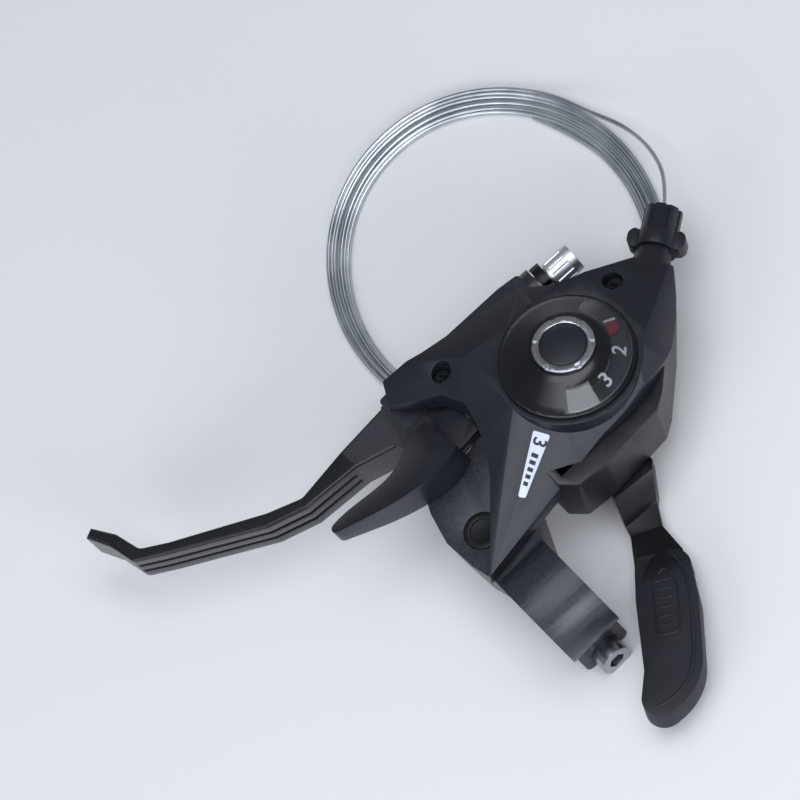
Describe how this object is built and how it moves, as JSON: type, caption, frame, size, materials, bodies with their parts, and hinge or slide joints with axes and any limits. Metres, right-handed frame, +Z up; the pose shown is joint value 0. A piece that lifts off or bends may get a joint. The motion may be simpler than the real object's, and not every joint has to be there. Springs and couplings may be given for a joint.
{
  "type": "thumb shifter",
  "caption": "Left-hand brake lever and thumb shifter on one bar clamp, with a thumb push lever, finger release trigger, gear dial, cable adjusters and a coiled inner wire.",
  "frame": {"origin": "centre of the handlebar clamp's bore, on the bar's axis", "axes": "+X along the bar towards the stem, +Y forward away from the rider, +Z up; the brake lever swings in the XY plane"},
  "size_m": [0.1722, 0.1836, 0.0442],
  "materials": {
    "cast_black": "satin black powder coat on cast aluminium",
    "moulded_black": "fine-grained moulded nylon",
    "gloss_black": "polished black moulding",
    "lever_black": "satin black painted aluminium",
    "thumb_rubber": "matte moulded rubber",
    "clear_window": "clear moulded window",
    "dial_grey": "printed dial",
    "pointer_red": "red indicator",
    "chrome": "bright plated",
    "steel": "zinc plated steel",
    "black_steel": "black oxide steel",
    "alloy_bright": "turned bright aluminium",
    "label": "silver label",
    "bronze": "bronze bush",
    "wire_steel": "stranded stainless wire",
    "acetal": "acetal moulding"
  },
  "bodies": {
    "bracket": {"bracket": "cast_black", "clamp_bolt": "steel", "clamp_nut": "steel", "bracket_bolt": "black_steel", "brake_pivot_pin": "steel", "pivot_clip": "steel", "brake_return_spring": "steel", "reach_screw": "black_steel", "lower_housing": "gloss_black", "top_cover": "moulded_black", "label_plate": "label", "cover_screw_front": "black_steel", "cover_screw_neck": "black_steel", "dial_plate": "dial_grey", "dial_window": "clear_window", "dial_bezel": "gloss_black", "chrome_ring": "chrome", "dial_cap": "moulded_black", "main_axle": "steel", "base_plate": "steel", "drum_return_spring": "steel", "holding_pawl_pin": "steel", "thumb_post": "steel", "thumb_clip": "steel", "thumb_return_spring": "steel", "trigger_pin": "steel", "trigger_spring": "steel", "gear_wire_inside": "wire_steel", "gear_wire": "wire_steel", "wire_coil": "wire_steel"},
    "brake_lever": {"brake_lever": "lever_black", "pivot_bush": "bronze"},
    "cable_hook": {"cable_hook": "steel"},
    "brake_barrel": {"brake_barrel": "alloy_bright"},
    "barrel_lock_ring": {"barrel_lock_ring": "black_steel"},
    "thumb_lever": {"thumb_arm": "black_steel", "thumb_pad": "thumb_rubber"},
    "feed_pawl": {"feed_pawl": "steel"},
    "holding_pawl": {"holding_pawl": "steel"},
    "release_trigger": {"release_trigger": "moulded_black"},
    "drum": {"winding_drum": "acetal", "ratchet_wheel": "steel", "gear_indicator": "pointer_red", "wire_head": "steel", "wire_on_drum": "wire_steel"},
    "shift_barrel": {"shift_barrel": "moulded_black"}
  },
  "joints": [
    {"name": "brake_pull", "type": "hinge", "parent": "bracket", "child": "brake_lever", "pos_m": [0.01, 0.048, 0], "axis": [0, 0, 1], "range_deg": [0, 28], "stiffness_Nm_per_rad": 0.25, "springref_deg": -17.19},
    {"name": "cable_hook_swivel", "type": "hinge", "parent": "brake_lever", "child": "cable_hook", "pos_m": [0.013, 0.0695, -0.001], "axis": [0, 0, 1], "range_deg": [-20, 35]},
    {"name": "brake_barrel_turn", "type": "hinge", "parent": "bracket", "child": "brake_barrel", "pos_m": [0.05795, 0.06746, -0.001], "axis": [0.999, -0.0454, 0], "range_deg": [-180, 180]},
    {"name": "lock_ring_turn", "type": "hinge", "parent": "bracket", "child": "barrel_lock_ring", "pos_m": [0.05396, 0.06764, -0.001], "axis": [0.999, -0.0454, 0], "range_deg": [-180, 180]},
    {"name": "thumb_push", "type": "hinge", "parent": "bracket", "child": "thumb_lever", "pos_m": [0.03499, 0.0194, -0.00813], "axis": [0.2079, 0, 0.9781], "range_deg": [0, 34], "stiffness_Nm_per_rad": 0.12, "springref_deg": -17.19},
    {"name": "feed_pawl_swing", "type": "hinge", "parent": "thumb_lever", "child": "feed_pawl", "pos_m": [0.03796, 0.02558, 0.0032], "axis": [0.2079, 0, 0.9781], "range_deg": [-20, 0], "stiffness_Nm_per_rad": 0.002, "springref_deg": 11.46},
    {"name": "holding_pawl_lift", "type": "hinge", "parent": "bracket", "child": "holding_pawl", "pos_m": [0.02735, 0.0486, 0.00545], "axis": [0.2079, 0, 0.9781], "range_deg": [-12.5, 0]},
    {"name": "trigger_pull", "type": "hinge", "parent": "bracket", "child": "release_trigger", "pos_m": [0.019, 0.05, 0.0085], "axis": [0, 0, 1], "range_deg": [0, 15], "stiffness_Nm_per_rad": 0.1, "springref_deg": -17.19},
    {"name": "gear_index", "type": "hinge", "parent": "bracket", "child": "drum", "pos_m": [0.04213, 0.039, 0.0062], "axis": [0.2079, 0, 0.9781], "range_deg": [-78, 0]},
    {"name": "shift_barrel_turn", "type": "hinge", "parent": "bracket", "child": "shift_barrel", "pos_m": [0.07861, 0.0518, -0.00156], "axis": [0.7522, 0.6392, -0.1599], "range_deg": [-180, 180]}
  ],
  "couplings": [
    {"joint": "holding_pawl_lift", "follows": "trigger_pull", "ratio": -0.8}
  ]
}
